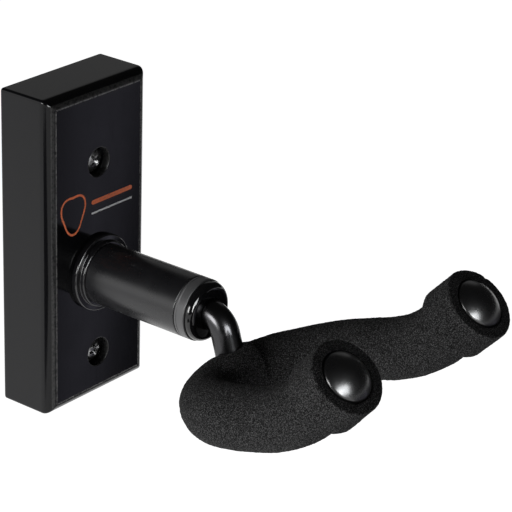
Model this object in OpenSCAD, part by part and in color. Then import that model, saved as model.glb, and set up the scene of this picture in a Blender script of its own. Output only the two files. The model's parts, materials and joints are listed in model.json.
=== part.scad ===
// Wall guitar hanger: a wooden wall block, a tubular pivot housing and a foam-covered swivelling yoke.
// The wall is the plane y = 0, the hanger reaches towards -y, and z is up.
// The origin is the middle of the block's back face.

/* [Mounting block] */
// Height of the wooden block
block_h = 140; // [130:1:170]
// Width of the wooden block
block_w = 60; // [50:1:80]
// Thickness of the wooden block
block_d = 27; // [24:1:32]
// Radius routed along the four front edges
block_edge_r = 5; // [2:0.5:8]

/* [Wall screws] */
// Height of the upper screw above the block's middle
screw_top_z = 36.5; // [30:0.5:50]
// Height of the lower screw, below the block's middle
screw_low_z = -50; // [-58:0.5:-42]
// Outer diameter of the screw
screw_d = 5; // [4:0.5:5]
// Length of the screw under its head
screw_len = 50; // [40:5:70]
// Diameter of the screw's head
head_d = 10.4; // [9:0.1:11]
// Height of the screw's head
head_h = 2.7; // [2:0.1:3.5]
// Diameter of the recess that the head sits in
recess_d = 12.5; // [12:0.1:14]
// Depth of that recess
recess_depth = 4.5; // [3:0.1:8]

/* [Pivot housing] */
// Height of the pivot axis from the block's middle
pivot_z = -12.5; // [-20:0.5:0]
// Outer diameter of the tube
tube_d = 26.2; // [24:0.2:32]
// Wall of the tube
tube_wall = 2; // [1.5:0.1:2.5]
// Length of the tube
tube_len = 52.2; // [50:0.2:70]
// Diameter of the flange at the foot of the tube
flange_d = 33.4; // [32:0.2:45]
// Thickness of the flange's rim
flange_h = 2.6; // [2:0.1:4]
// Thickness of the grey bearing ring in front of the tube
ring_h = 5; // [3:0.5:8]
// Diameter of the glossy end cap
cap_d = 25.2; // [22:0.2:26]
// Thickness of the glossy end cap
cap_h = 3.4; // [2.5:0.1:6]

/* [Swivel rod] */
// Diameter of the rod
rod_d = 12; // [10:0.5:12]
// Centreline radius of the bend
rod_bend_r = 10; // [9:0.5:14]
// Angle of the bend
rod_bend = 73; // [70:1:90]

/* [Yoke] */
// Distance from the wall to the middle of the yoke's base
yoke_reach = 102; // [101:0.5:115]
// Drop from the pivot axis to the middle of the yoke's base
yoke_drop = 26.2; // [24:0.2:34]
// Centreline radius of the yoke's base
yoke_r = 40.5; // [36:0.5:46]
// Forward and upward tilt of the yoke's plane
yoke_tilt = 18; // [0:1:25]
// Outward splay of each arm
arm_splay = 2.5; // [0:0.5:6]
// Straight length of each arm between its bends
arm_len = 10.5; // [5:0.5:40]
// Centreline radius of the upward bend
tip_bend_r = 60; // [40:1:80]
// Angle of the upward bend
tip_bend = 30.5; // [15:0.5:45]
// Straight length of each tip
tip_len = 20; // [19:0.5:30]

/* [Foam and end caps] */
// Outer diameter of the foam on the arms
foam_d = 25.7; // [22:0.1:28]
// Outer diameter of the foam sleeve on each tip
sleeve_d = 31.4; // [28:0.2:34]
// Length of the foam sleeve on each tip
sleeve_len = 18; // [15:0.5:19]
// Sideways distance from the middle to the seam between the two foam tubes
seam_x = 8; // [7:0.5:12]
// Diameter of the domed end cap
dome_d = 20.8; // [18:0.2:22]
// Height of the dome
dome_h = 4.2; // [2:0.1:7]

/* [Hidden] */
$fn = 96;

// Play between pieces that slide together, and between a turning face and a fixed one
slip = 0.05;
face_gap = 0.4;
// A little extra so that a cutting shape passes its surface
over = 1;
// Each straight of a bent bar laps over the end of the bend beside it, which is this much slimmer
lap = 0.3;
bend_inset = 0.02;

rod_r = rod_d / 2;
tube_r = tube_d / 2;
tube_bore_r = tube_r - tube_wall;
tube_end = block_d + tube_len;
ring_start = tube_end + 0.3;
cap_start = ring_start + ring_h + face_gap;
cap_end = cap_start + cap_h;

// The rod's lower run, found from where the bend must start to meet the yoke's base
lower_len = (yoke_drop - rod_bend_r * (1 - cos(rod_bend))) / sin(rod_bend);
bend_start = yoke_reach - rod_bend_r * sin(rod_bend) - lower_len * cos(rod_bend);
// The rod stops on top of the bar, and a weld this high joins them
foot_len = lower_len - rod_r - 0.1;
weld_h = 2.5;

// M8 housing bolt, its washers and the counterbore in the block's back
bolt_r = 4;
bolt_head_af = 13;
bolt_head_h = 5.3;
bolt_len = 30;
bolt_washer_r = 10;
bolt_washer_h = 1.6;
lock_washer_r = 6.4;
lock_washer_h = 1.8;
bore_depth = 9;
bore_r = 11;
plug_h = 10;

// M8 thread on the rod's rear end, with its nut and washer
thread_r = 4;
nut_af = 13;
nut_h = 7;
rod_washer_r = 9.5;
rod_washer_h = 1.6;
nut_start = block_d + plug_h + 1.5;
washer_start = nut_start + nut_h;
shoulder = washer_start + rod_washer_h;
bush_start = shoulder + face_gap;
bush_h = 10;
spigot_h = 14;

// Points along the yoke
arc_end = 90 - arm_splay;
seam_angle = asin(seam_x / yoke_r);
foam_r = foam_d / 2;
sleeve_start = tip_len - sleeve_len;
dome_r = dome_d / 2;
socket_r = rod_r + 2;
socket_h = 9;
rim_h = 2;

// The wood screw's hole, point and plain shank, whose thread starts just behind the wall face
screw_hole_r = screw_d / 2 + 0.3;
screw_tip = 6;
shank_r = screw_d / 2 - 0.3;
shank_step = 0.5;
seat_to_wall = block_d - recess_depth;
// The cross drive in its head
drive_w = 1.3;
drive_l = 5.6;
drive_depth = 1.7;

// Places z = 0 of a piece on the pivot axis, this far in front of the wall, with its z forward
module on_pivot(forward) {
  translate([0, -forward, pivot_z]) rotate([90, 0, 0]) children();
}

// The frame at the middle of the yoke's base, with -y along the arms
module at_yoke() {
  translate([0, -yoke_reach, pivot_z - yoke_drop]) rotate([-yoke_tilt, 0, 0]) children();
}

// The frame where an arm's straight starts, with x along the arm; side is 1 for the right, -1 for the left
module at_arm(side) {
  at_yoke() translate([0, -yoke_r, 0]) rotate([0, 0, -side * arc_end]) translate([0, yoke_r, 0])
    rotate([0, 0, 90 * (1 - side)]) children();
}

// The frame where a tip's straight starts, with z along the tip
module at_tip(side) {
  at_arm(side) translate([arm_len, 0, tip_bend_r]) rotate([0, -tip_bend, 0])
    translate([0, 0, -tip_bend_r]) rotate([0, 90, 0]) children();
}

// The frame where the rod's lower run starts, with z along that run
module at_lower_run() {
  on_pivot(bend_start) translate([0, -rod_bend_r, 0]) rotate([rod_bend, 0, 0])
    translate([0, rod_bend_r, 0]) children();
}

module washer(r_out, r_in, h) {
  difference() {
    cylinder(r = r_out, h = h);
    translate([0, 0, -over]) cylinder(r = r_in, h = h + 2 * over);
  }
}

module hexagon(across_flats, h) {
  cylinder(r = across_flats / 2 / cos(30), h = h, $fn = 6);
}

// A disc with its upper edge rounded
module rounded_disc(r, h, edge) {
  rotate_extrude() {
    square([r - edge, h]);
    square([r, h - edge]);
    intersection() {
      translate([r - edge, h - edge]) circle(r = edge);
      square([r, h]);
    }
  }
}

// The base arc of the yoke between two angles, measured from its middle towards the right
module base_arc(r, from, to) {
  at_yoke() translate([0, -yoke_r, 0]) rotate([0, 0, 90 - to])
    rotate_extrude(angle = to - from) translate([yoke_r, 0]) circle(r = r - bend_inset);
}

// An arm from the base arc to a point along its tip, as a round section of one radius
module arm_run(side, r, tip) {
  at_arm(side) translate([-lap, 0, 0]) rotate([0, 90, 0]) cylinder(r = r, h = arm_len + 2 * lap);
  at_arm(side) translate([arm_len, 0, tip_bend_r]) rotate([90, 0, 0]) rotate([0, 0, -90])
    rotate_extrude(angle = tip_bend) translate([tip_bend_r, 0]) circle(r = r - bend_inset);
  at_tip(side) translate([0, 0, -lap]) cylinder(r = r, h = tip + lap);
}

// Section of the block with its two front edges rounded, front towards -y
module block_section(width) {
  translate([-width / 2, block_edge_r - block_d]) square([width, block_d - block_edge_r]);
  translate([block_edge_r - width / 2, -block_d]) square([width - 2 * block_edge_r, block_d]);
  for (side = [-1, 1])
    translate([side * (width / 2 - block_edge_r), block_edge_r - block_d]) circle(r = block_edge_r);
}

module screw_recess(z) {
  translate([0, over, z]) rotate([90, 0, 0]) cylinder(r = screw_hole_r, h = block_d + 2 * over);
  translate([0, recess_depth - block_d, z]) rotate([90, 0, 0]) cylinder(r = recess_d / 2, h = recess_depth + over);
}

module mount_block() {
  color([0.07, 0.07, 0.075]) difference() {
    intersection() {
      linear_extrude(height = block_h, center = true) block_section(block_w);
      rotate([0, 90, 0]) linear_extrude(height = block_w, center = true) block_section(block_h);
    }
    screw_recess(screw_top_z);
    screw_recess(screw_low_z);
    on_pivot(-over) cylinder(r = bore_r, h = bore_depth + over);
    on_pivot(0) cylinder(r = bolt_r + 0.3, h = block_d + over);
  }
}

// A round-headed cross-drive wood screw seated in its recess
module wall_screw(z) {
  color([0.1, 0.1, 0.1]) translate([0, recess_depth - block_d, z]) rotate([90, 0, 0]) {
    difference() {
      intersection() {
        cylinder(r = head_d / 2, h = head_h);
        translate([0, 0, head_h - head_d * 0.7]) sphere(r = head_d * 0.7);
      }
      for (turn = [0, 90]) rotate([0, 0, turn])
        translate([-drive_l / 2, -drive_w / 2, head_h - drive_depth]) cube([drive_l, drive_w, drive_depth + over]);
    }
    translate([0, 0, -seat_to_wall - shank_step]) cylinder(r = shank_r, h = seat_to_wall + shank_step + over / 2);
    translate([0, 0, screw_tip - screw_len])
      cylinder(r = screw_d / 2, h = screw_len - screw_tip - seat_to_wall - shank_step);
    translate([0, 0, -screw_len]) cylinder(r1 = 0.3, r2 = screw_d / 2, h = screw_tip);
  }
}

module upper_wall_screw() {
  wall_screw(screw_top_z);
}

module lower_wall_screw() {
  wall_screw(screw_low_z);
}

module housing_bolt() {
  head_start = bore_depth - bolt_washer_h - lock_washer_h - bolt_head_h;
  color([0.62, 0.62, 0.64]) on_pivot(head_start) {
    hexagon(bolt_head_af, bolt_head_h);
    cylinder(r = bolt_r, h = bolt_head_h + bolt_len);
  }
}

module bolt_washer() {
  color([0.66, 0.66, 0.68]) on_pivot(bore_depth - bolt_washer_h)
    washer(bolt_washer_r, bolt_r + 0.3, bolt_washer_h);
}

// A split spring washer, cut through at one side
module bolt_lock_washer() {
  color([0.5, 0.5, 0.52]) on_pivot(bore_depth - bolt_washer_h - lock_washer_h) difference() {
    washer(lock_washer_r, bolt_r + 0.2, lock_washer_h);
    translate([bolt_r, -0.4, -over]) cube([lock_washer_r, 0.8, lock_washer_h + 2 * over]);
  }
}

module tube_flange() {
  color([0.06, 0.06, 0.065]) on_pivot(block_d) difference() {
    union() {
      rounded_disc(flange_d / 2, flange_h, 0.8);
      rounded_disc(tube_r + 1.2, flange_h + 2, 0.6);
    }
    translate([0, 0, -over]) cylinder(r = tube_r + slip, h = flange_h + 2 + 2 * over);
  }
}

module pivot_tube() {
  color([0.08, 0.08, 0.085]) on_pivot(block_d) difference() {
    rounded_disc(tube_r, tube_len, 0.5);
    translate([0, 0, -over]) cylinder(r = tube_bore_r, h = tube_len + 2 * over);
  }
}

module tube_base_plug() {
  color([0.55, 0.55, 0.57]) on_pivot(block_d) washer(tube_bore_r - slip, bolt_r + slip, plug_h);
}

module rear_bush() {
  color([0.85, 0.85, 0.8]) on_pivot(bush_start) washer(tube_bore_r - slip, rod_r + slip, bush_h);
}

// The grey ring is the head of the front bush, whose spigot fills the tube's mouth
module bearing_ring() {
  color([0.36, 0.36, 0.37]) on_pivot(ring_start) difference() {
    union() {
      rounded_disc(tube_r, ring_h, 0.5);
      translate([0, 0, -spigot_h]) cylinder(r = tube_bore_r - slip, h = spigot_h + over);
    }
    translate([0, 0, -spigot_h - over]) cylinder(r = rod_r + slip, h = spigot_h + ring_h + 2 * over);
  }
}

module swivel_rod() {
  color([0.05, 0.05, 0.055]) {
    on_pivot(nut_start - 1) cylinder(r = thread_r, h = shoulder - nut_start + 1 + over);
    on_pivot(shoulder) cylinder(r = rod_r, h = bend_start - shoulder + lap);
    on_pivot(bend_start) translate([0, -rod_bend_r, 0]) rotate([90, 0, 90])
      rotate_extrude(angle = rod_bend) translate([rod_bend_r, 0]) circle(r = rod_r - bend_inset);
    at_lower_run() translate([0, 0, -lap]) cylinder(r = rod_r, h = foot_len + lap);
  }
}

// The cap's bore leaves room for the start of the bend
module rod_end_cap() {
  color([0.04, 0.04, 0.045]) on_pivot(cap_start) difference() {
    rounded_disc(cap_d / 2, cap_h, 2.2);
    translate([0, 0, -over]) cylinder(r = rod_r + 0.25, h = cap_h + 2 * over);
  }
}

module rod_washer() {
  color([0.66, 0.66, 0.68]) on_pivot(washer_start) washer(rod_washer_r, thread_r + slip, rod_washer_h);
}

module rod_lock_nut() {
  color([0.6, 0.6, 0.62]) on_pivot(nut_start) difference() {
    hexagon(nut_af, nut_h);
    translate([0, 0, -over]) cylinder(r = thread_r + slip, h = nut_h + 2 * over);
  }
}

module yoke_bar() {
  color([0.05, 0.05, 0.055]) {
    base_arc(rod_r, -arc_end, arc_end);
    for (side = [-1, 1]) arm_run(side, rod_r, tip_len - rim_h - 1.5);
  }
}

// Fillet of weld between the rod's foot and the bar
module yoke_weld() {
  color([0.12, 0.12, 0.12]) difference() {
    at_lower_run() translate([0, 0, foot_len - weld_h])
      cylinder(r1 = rod_r + 0.3, r2 = rod_r + weld_h, h = weld_h + rod_r / 2);
    at_lower_run() cylinder(r = rod_r + slip, h = foot_len + slip);
    base_arc(rod_r + slip, -30, 30);
  }
}

// The left foam tube, from its tip round past the middle, slit where the rod and its weld come through
module left_arm_foam() {
  color([0.16, 0.16, 0.16]) difference() {
    union() {
      base_arc(foam_r, -arc_end, seam_angle);
      arm_run(-1, foam_r, sleeve_start - slip);
    }
    base_arc(rod_r + slip, -arc_end, seam_angle + 5);
    arm_run(-1, rod_r + slip, tip_len);
    at_lower_run() cylinder(r = rod_r + 0.1, h = lower_len);
    at_lower_run() translate([0, 0, foot_len - weld_h - 0.5])
      cylinder(r = rod_r + weld_h + 0.5, h = lower_len - foot_len + weld_h);
  }
}

// The right foam tube, from the seam out to its tip
module right_arm_foam() {
  color([0.16, 0.16, 0.16]) difference() {
    union() {
      base_arc(foam_r, seam_angle + 0.5, arc_end);
      arm_run(1, foam_r, sleeve_start - slip);
    }
    base_arc(rod_r + slip, seam_angle - 5, arc_end);
    arm_run(1, rod_r + slip, tip_len);
  }
}

// The fatter foam sleeve round one tip, bored for the bar and for the cap's socket and rim
module tip_sleeve(side) {
  color([0.18, 0.18, 0.18]) at_tip(side) translate([0, 0, sleeve_start]) difference() {
    intersection() {
      rounded_disc(sleeve_d / 2, sleeve_len, 2);
      translate([0, 0, sleeve_len]) mirror([0, 0, 1]) rounded_disc(sleeve_d / 2, sleeve_len, 3.5);
    }
    translate([0, 0, -over]) cylinder(r = rod_r + slip, h = sleeve_len + 2 * over);
    translate([0, 0, sleeve_len - rim_h - socket_h - 0.2]) cylinder(r = socket_r + slip, h = sleeve_len);
    translate([0, 0, sleeve_len - rim_h]) cylinder(r = dome_r + slip, h = sleeve_len);
  }
}

module left_tip_sleeve() {
  tip_sleeve(-1);
}

module right_tip_sleeve() {
  tip_sleeve(1);
}

// The domed plastic cap, whose socket grips the end of the bar
module tip_cap(side) {
  dome_sphere_r = (dome_r * dome_r + dome_h * dome_h) / (2 * dome_h);
  color([0.03, 0.03, 0.035]) at_tip(side) translate([0, 0, tip_len]) {
    translate([0, 0, -rim_h + 0.1]) cylinder(r = dome_r, h = rim_h - 0.1);
    intersection() {
      translate([0, 0, dome_h - dome_sphere_r]) sphere(r = dome_sphere_r);
      translate([0, 0, -0.01]) cylinder(r = dome_r, h = dome_h + over);
    }
    translate([0, 0, -rim_h - socket_h]) washer(socket_r, rod_r + slip, socket_h + 0.2);
  }
}

module left_tip_cap() {
  tip_cap(-1);
}

module right_tip_cap() {
  tip_cap(1);
}

mount_block();
upper_wall_screw();
lower_wall_screw();
housing_bolt();
bolt_washer();
bolt_lock_washer();
tube_flange();
pivot_tube();
tube_base_plug();
rear_bush();
bearing_ring();
swivel_rod();
rod_end_cap();
rod_washer();
rod_lock_nut();
yoke_bar();
yoke_weld();
left_arm_foam();
right_arm_foam();
left_tip_sleeve();
right_tip_sleeve();
left_tip_cap();
right_tip_cap();
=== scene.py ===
import json
import math

import bmesh
import bpy
import numpy as np
from mathutils import Matrix, Vector


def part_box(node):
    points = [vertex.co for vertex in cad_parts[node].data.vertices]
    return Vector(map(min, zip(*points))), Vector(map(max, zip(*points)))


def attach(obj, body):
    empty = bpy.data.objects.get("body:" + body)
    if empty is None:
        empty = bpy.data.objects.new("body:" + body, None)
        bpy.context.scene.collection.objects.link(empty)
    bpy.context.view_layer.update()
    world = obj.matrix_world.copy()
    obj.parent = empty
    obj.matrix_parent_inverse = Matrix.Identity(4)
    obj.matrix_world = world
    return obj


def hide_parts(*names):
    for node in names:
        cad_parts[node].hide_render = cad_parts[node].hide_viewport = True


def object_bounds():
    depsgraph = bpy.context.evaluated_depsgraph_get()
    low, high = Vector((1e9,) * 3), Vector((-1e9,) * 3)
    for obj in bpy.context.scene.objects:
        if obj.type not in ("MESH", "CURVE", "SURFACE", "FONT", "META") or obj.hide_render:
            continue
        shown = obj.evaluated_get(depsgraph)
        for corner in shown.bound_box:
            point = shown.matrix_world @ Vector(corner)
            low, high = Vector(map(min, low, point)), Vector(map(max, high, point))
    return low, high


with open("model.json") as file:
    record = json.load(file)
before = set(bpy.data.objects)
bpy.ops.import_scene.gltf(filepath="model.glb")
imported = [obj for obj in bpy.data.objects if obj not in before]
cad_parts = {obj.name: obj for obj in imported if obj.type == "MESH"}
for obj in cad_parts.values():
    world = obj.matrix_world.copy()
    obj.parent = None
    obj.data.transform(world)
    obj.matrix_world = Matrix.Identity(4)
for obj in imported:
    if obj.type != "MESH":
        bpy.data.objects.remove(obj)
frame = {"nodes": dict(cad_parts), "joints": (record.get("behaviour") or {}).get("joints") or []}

cad_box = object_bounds()

# The studio: a pale light table under the hanger, a large softbox in front, two narrow ones to the left and a dim
# card behind. The camera stands to the left of the hanger and looks down on it.
VIEW_AZIMUTH, VIEW_ELEVATION, VIEW_ROLL = math.radians(-51.919), math.radians(23.743), math.radians(-1.872)
VIEW_DISTANCE, VIEW_RIGHT, VIEW_UP = 1.0142, 0.0865, -0.0126
LENS, SENSOR = 168.67, 36.0
TABLE_DROP, TABLE_HALF = 0.28, 6.0
TABLE_GREY, TABLE_GLOW = 0.55, 0.97
FRONT_CARD_GLOW, SIDE_CARD_GLOW, CARD_LIFT = (0.53, 0.52, 0.65), (0.02, 0.02, 0.02), 0.002
# Each fade across the front card: its slant, its shift, where it is dark, where it is bright, and its darkest share
CARD_FADES = (1.104, 0.0296, -0.065, -0.012, 0.25), (1.254, 0.1196, 0.06, 0.005, 0.05)
ROOM_GREY, HORIZON_GREY, FAR_LEFT = 0.03, 0.9, (-0.82, 0.57, 0.0)


def camera_axes(azimuth, elevation, roll):
    """The camera's right, up and back directions."""
    back = Vector((math.sin(azimuth) * math.cos(elevation), -math.cos(azimuth) * math.cos(elevation),
                   math.sin(elevation)))
    right = Vector((0, 0, 1)).cross(back).normalized()
    up = back.cross(right)
    return (math.cos(roll) * right - math.sin(roll) * up, math.sin(roll) * right + math.cos(roll) * up, back)


def flat_sheet(name, low, high, z):
    mesh = bpy.data.meshes.new(name)
    mesh.from_pydata([(low[0], low[1], z), (high[0], low[1], z), (high[0], high[1], z), (low[0], high[1], z)], [],
                     [(0, 1, 2, 3)])
    sheet = bpy.data.objects.new(name, mesh)
    bpy.context.collection.objects.link(sheet)
    return sheet


def softbox(name, direction, distance, width, height, radiance, tint=(1.0, 1.0, 1.0)):
    """A flat lamp that faces the hanger's middle from a direction, and that the camera doesn't see."""
    lamp = bpy.data.lights.new(name, "AREA")
    lamp.shape = "RECTANGLE"
    lamp.size, lamp.size_y = width, height
    lamp.energy = radiance * math.pi * width * height
    lamp.color = tint
    box = bpy.data.objects.new(name, lamp)
    bpy.context.collection.objects.link(box)
    direction = Vector(direction).normalized()
    centre = (cad_box[0] + cad_box[1]) / 2
    box.location = centre + distance * direction
    box.rotation_euler = direction.to_track_quat("Z", "Y").to_euler()
    box.visible_camera = False
    return box


def finish_start(name, colour, roughness, **sockets):
    """A material whose constant values sit on its shader's own sockets."""
    finish = bpy.data.materials.new(name)
    finish.use_nodes = True
    shader = finish.node_tree.nodes["Principled BSDF"]
    shader.inputs["Base Color"].default_value = (*colour, 1)
    shader.inputs["Roughness"].default_value = roughness
    for socket, value in sockets.items():
        shader.inputs[socket.replace("_", " ")].default_value = value
    return finish, finish.node_tree, shader


def node(tree, kind, settings=None, **inputs):
    """A node with its settings and its inputs: plain values, or sockets to link from, by name or as i and a number."""
    made = tree.nodes.new(kind)
    for key, value in (settings or {}).items():
        setattr(made, key, value)
    for key, value in inputs.items():
        numbered = key[0] == "i" and key[1:].isdigit()
        socket = made.inputs[int(key[1:])] if numbered else made.inputs[key.replace("_", " ")]
        if isinstance(value, bpy.types.NodeSocket):
            tree.links.new(value, socket)
        else:
            socket.default_value = value
    return made


def arithmetic(tree, kind, a, b, clamp=False):
    return node(tree, "ShaderNodeMath", {"operation": kind, "use_clamp": clamp}, i0=a, i1=b).outputs[0]


def along_way(tree, vector, way):
    return node(tree, "ShaderNodeVectorMath", {"operation": "DOT_PRODUCT"}, i0=vector, i1=way).outputs["Value"]


def spread(tree, value, low, high, to_low, to_high):
    """A value's range mapped smoothly onto another, and held at its ends."""
    return node(tree, "ShaderNodeMapRange", {"interpolation_type": "SMOOTHSTEP"}, Value=value, From_Min=low,
                From_Max=high, To_Min=to_low, To_Max=to_high).outputs[0]


cad_box = tuple(Vector(corner) for corner in cad_box)
right_axis, up_axis, back_axis = camera_axes(VIEW_AZIMUTH, VIEW_ELEVATION, VIEW_ROLL)
camera = bpy.data.objects.new("camera", bpy.data.cameras.new("camera"))
bpy.context.collection.objects.link(camera)
camera.data.lens, camera.data.sensor_width = LENS, SENSOR
turned = Matrix((right_axis, up_axis, back_axis)).transposed().to_4x4()
camera.matrix_world = Matrix.Translation(
    VIEW_RIGHT * right_axis + VIEW_UP * up_axis + VIEW_DISTANCE * back_axis) @ turned
bpy.context.scene.camera = camera

table = flat_sheet("light_table", (-TABLE_HALF, -TABLE_HALF), (TABLE_HALF, TABLE_HALF), cad_box[0].z - TABLE_DROP)
table_finish, _, _ = finish_start("light_table", (TABLE_GREY, TABLE_GREY, TABLE_GREY), 0.9,
                                  Emission_Color=(1, 1, 1, 1), Emission_Strength=TABLE_GLOW)
table.data.materials.append(table_finish)

# Dark cards on the table keep the block's front and its routed edge dark, and shade the yoke's right side; the camera
# doesn't see them.
for name, low, high, glow in (("front_card", (0.06, -2.5), (2.5, -0.12), FRONT_CARD_GLOW),
                              ("side_card", (-1.1, -0.5), (-0.6, 0.0), SIDE_CARD_GLOW)):
    card = flat_sheet(name, low, high, cad_box[0].z - TABLE_DROP + CARD_LIFT)
    card_finish, tree, shader = finish_start(name, (0, 0, 0), 0.5, Emission_Color=(*glow, 1), Emission_Strength=1.0)
    if name == "front_card":
        here = node(tree, "ShaderNodeTexCoord").outputs["Object"]
        fades = [spread(tree, along_way(tree, here, (1.0, slant, 0.0)), dark_at - shift, bright_at - shift, least, 1.0)
                 for slant, shift, dark_at, bright_at, least in CARD_FADES]
        tree.links.new(arithmetic(tree, "MULTIPLY", *fades), shader.inputs["Emission Strength"])
    card.data.materials.append(card_finish)
    card.visible_camera = card.visible_shadow = False
    card.visible_diffuse = name == "front_card"

softbox("front_softbox", (-0.3, -0.88, 0.34), 1.2, 0.6, 0.45, 16.0, (0.96, 0.98, 1.0))
softbox("left_strip", (-0.535, -0.82, 0.185), 1.1, 0.26, 0.4, 16.0)
softbox("side_softbox", (-0.96, 0.12, 0.25), 1.1, 0.4, 0.4, 15.0)
softbox("back_card", (0.72, 0.565, 0.38), 1.4, 1.2, 0.6, 0.22)
for name in ("front_softbox", "left_strip"):
    bpy.data.objects[name].visible_diffuse = False

world = bpy.data.worlds.new("room")
bpy.context.scene.world = world
world.use_nodes = True
room = world.node_tree
facing = node(room, "ShaderNodeTexCoord").outputs["Generated"]
near_horizon = spread(room, node(room, "ShaderNodeSeparateXYZ", None, i0=facing).outputs["Z"], 0.18, 0.48, 1.4, 0.0)
to_far_left = spread(room, along_way(room, facing, FAR_LEFT), 0.7, 0.88, 0.0, 1.0)
lift = node(room, "ShaderNodeMath", {"operation": "MULTIPLY_ADD"}, i0=near_horizon, i1=to_far_left, i2=ROOM_GREY)
dim = room.nodes["Background"]
room.links.new(lift.outputs[0], dim.inputs["Color"])
pale = node(room, "ShaderNodeBackground", None, Color=(HORIZON_GREY, HORIZON_GREY, HORIZON_GREY, 1))
either = node(room, "ShaderNodeMixShader", None, i0=node(room, "ShaderNodeLightPath").outputs["Is Camera Ray"],
              i1=dim.outputs[0], i2=pale.outputs[0])
room.links.new(either.outputs[0], room.nodes["World Output"].inputs[0])
bpy.context.scene.view_settings.view_transform = "Standard"

# The wall block: one piece of hardwood with its four front edges routed round, two screw recesses, and a bolt hole
# counterbored from the back. It is sprayed in black lacquer. The pale line along the front arris is partly lacquer
# rubbed thin and partly a painted highlight.
MM = 0.001
BLOCK_LOW, BLOCK_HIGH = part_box("mount_block")
BLOCK_WIDE, BLOCK_DEEP, BLOCK_TALL = BLOCK_HIGH - BLOCK_LOW
ROUTED, BACK_EASE = 5 * MM, 1.4 * MM
CORNER_BACK, CORNER_FRONT = 1.2 * MM, 0.35 * MM
GUARD = 0.45 * MM
SCREW_HEIGHTS = (36.5 * MM, -50 * MM)
RECESS_R, RECESS_DEEP, RECESS_LIP = 6.25 * MM, 4.5 * MM, 0.45 * MM
SCREW_HOLE_R = 2.8 * MM
COUNTERBORE_R, COUNTERBORE_DEEP, BOLT_HOLE_R = 11 * MM, 9 * MM, 4.3 * MM
PIVOT_Z = frame["joints"][0]["pos_m"][2]


def mesh_piece(name, points, faces, finish, keen=32, edge=None):
    """A closed mesh piece, with normals outwards, smooth but for edges sharper than keen degrees."""
    mesh = bpy.data.meshes.new(name)
    mesh.from_pydata([tuple(p) for p in points], [], [tuple(f) for f in faces])
    shape = bmesh.new()
    shape.from_mesh(mesh)
    if edge is not None:
        layer = shape.verts.layers.float.new("edge")
        shape.verts.ensure_lookup_table()
        for v, amount in zip(shape.verts, edge):
            v[layer] = amount
    bmesh.ops.recalc_face_normals(shape, faces=shape.faces)
    shape.to_mesh(mesh)
    shape.free()
    smooth(mesh, keen)
    mesh.materials.append(finish)
    piece = bpy.data.objects.new(name, mesh)
    bpy.context.collection.objects.link(piece)
    return piece


def smooth(mesh, keen):
    mesh.shade_smooth()
    mesh.set_sharp_from_angle(angle=math.radians(keen))


def skin(rings, closed_ends=True):
    """Faces that join rings of equal length, with an n-gon over each end."""
    count, size = len(rings), len(rings[0])
    faces = []
    for i in range(count - 1):
        for j in range(size):
            k = (j + 1) % size
            faces.append((i * size + j, i * size + k, (i + 1) * size + k, (i + 1) * size + j))
    if closed_ends:
        faces.append(tuple(range(size)))
        faces.append(tuple(range((count - 1) * size, count * size)))
    return [p for ring in rings for p in ring], faces


def looped_skin(rings):
    """Faces that join rings of equal length, and the last ring to the first."""
    points, faces = skin(rings, closed_ends=False)
    size = len(rings[0])
    last = len(points) - size
    return points, faces + [(last + j, last + (j + 1) % size, (j + 1) % size, j) for j in range(size)]


def turned_solid(profile, place, steps, weights=None):
    """Points, faces and edge weights of a profile of (radius, height) revolved about the z axis of place."""
    points, faces, amounts, rings = [], [], [], []
    for n, (r, h) in enumerate(profile):
        amount = weights[n] if weights else 0.0
        if r < 1e-7:
            rings.append([len(points)])
            points.append(place @ Vector((0, 0, h)))
            amounts.append(amount)
        else:
            rings.append(list(range(len(points), len(points) + steps)))
            for s in range(steps):
                a = 2 * math.pi * s / steps
                points.append(place @ Vector((r * math.cos(a), r * math.sin(a), h)))
                amounts.append(amount)
    whole = profile[0][0] > 1e-7 and profile[-1][0] > 1e-7
    pairs = list(zip(rings, rings[1:])) + ([(rings[-1], rings[0])] if whole else [])
    for a, b in pairs:
        for s in range(steps):
            t = (s + 1) % steps
            if len(a) == 1 and len(b) == 1:
                continue
            if len(a) == 1:
                faces.append((a[0], b[t], b[s]))
            elif len(b) == 1:
                faces.append((a[s], a[t], b[0]))
            else:
                faces.append((a[s], a[t], b[t], b[s]))
    return points, faces, amounts


def arc(centre, radius, start, end, steps):
    """Points of a profile arc, with its angles in degrees from the radius axis."""
    return [(centre[0] + radius * math.cos(math.radians(a)), centre[1] + radius * math.sin(math.radians(a)))
            for a in np.linspace(start, end, steps)]


def on_wall(x, z):
    """A frame on the wall whose z axis points out into the room."""
    return Matrix.Translation((x, 0, z)) @ Matrix.Rotation(math.radians(90), 4, "X")


def scaled(tree, vector, factors):
    return node(tree, "ShaderNodeVectorMath", {"operation": "MULTIPLY"}, i0=vector, i1=factors).outputs[0]


def group(name, inputs, outputs, kind="ShaderNodeTree"):
    """A node tree with named inputs, each with its kind and first value, and named outputs."""
    tree = bpy.data.node_groups.new(name, kind)
    for socket, socket_kind, value in inputs:
        made = tree.interface.new_socket(socket, in_out="INPUT", socket_type="NodeSocket" + socket_kind)
        if value is not None:
            made.default_value = value
    for socket, socket_kind in outputs:
        tree.interface.new_socket(socket, in_out="OUTPUT", socket_type="NodeSocket" + socket_kind)
    return tree, tree.nodes.new("NodeGroupInput"), tree.nodes.new("NodeGroupOutput")


def place_group(tree, made, **inputs):
    return node(tree, "ShaderNodeGroup", {"node_tree": made}, **inputs)


def blend(tree, amount, first, second):
    """A colour between two others, which are plain colours or sockets."""
    return node(tree, "ShaderNodeMix", {"data_type": "RGBA"}, i0=amount, i6=first, i7=second).outputs[2]


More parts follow.
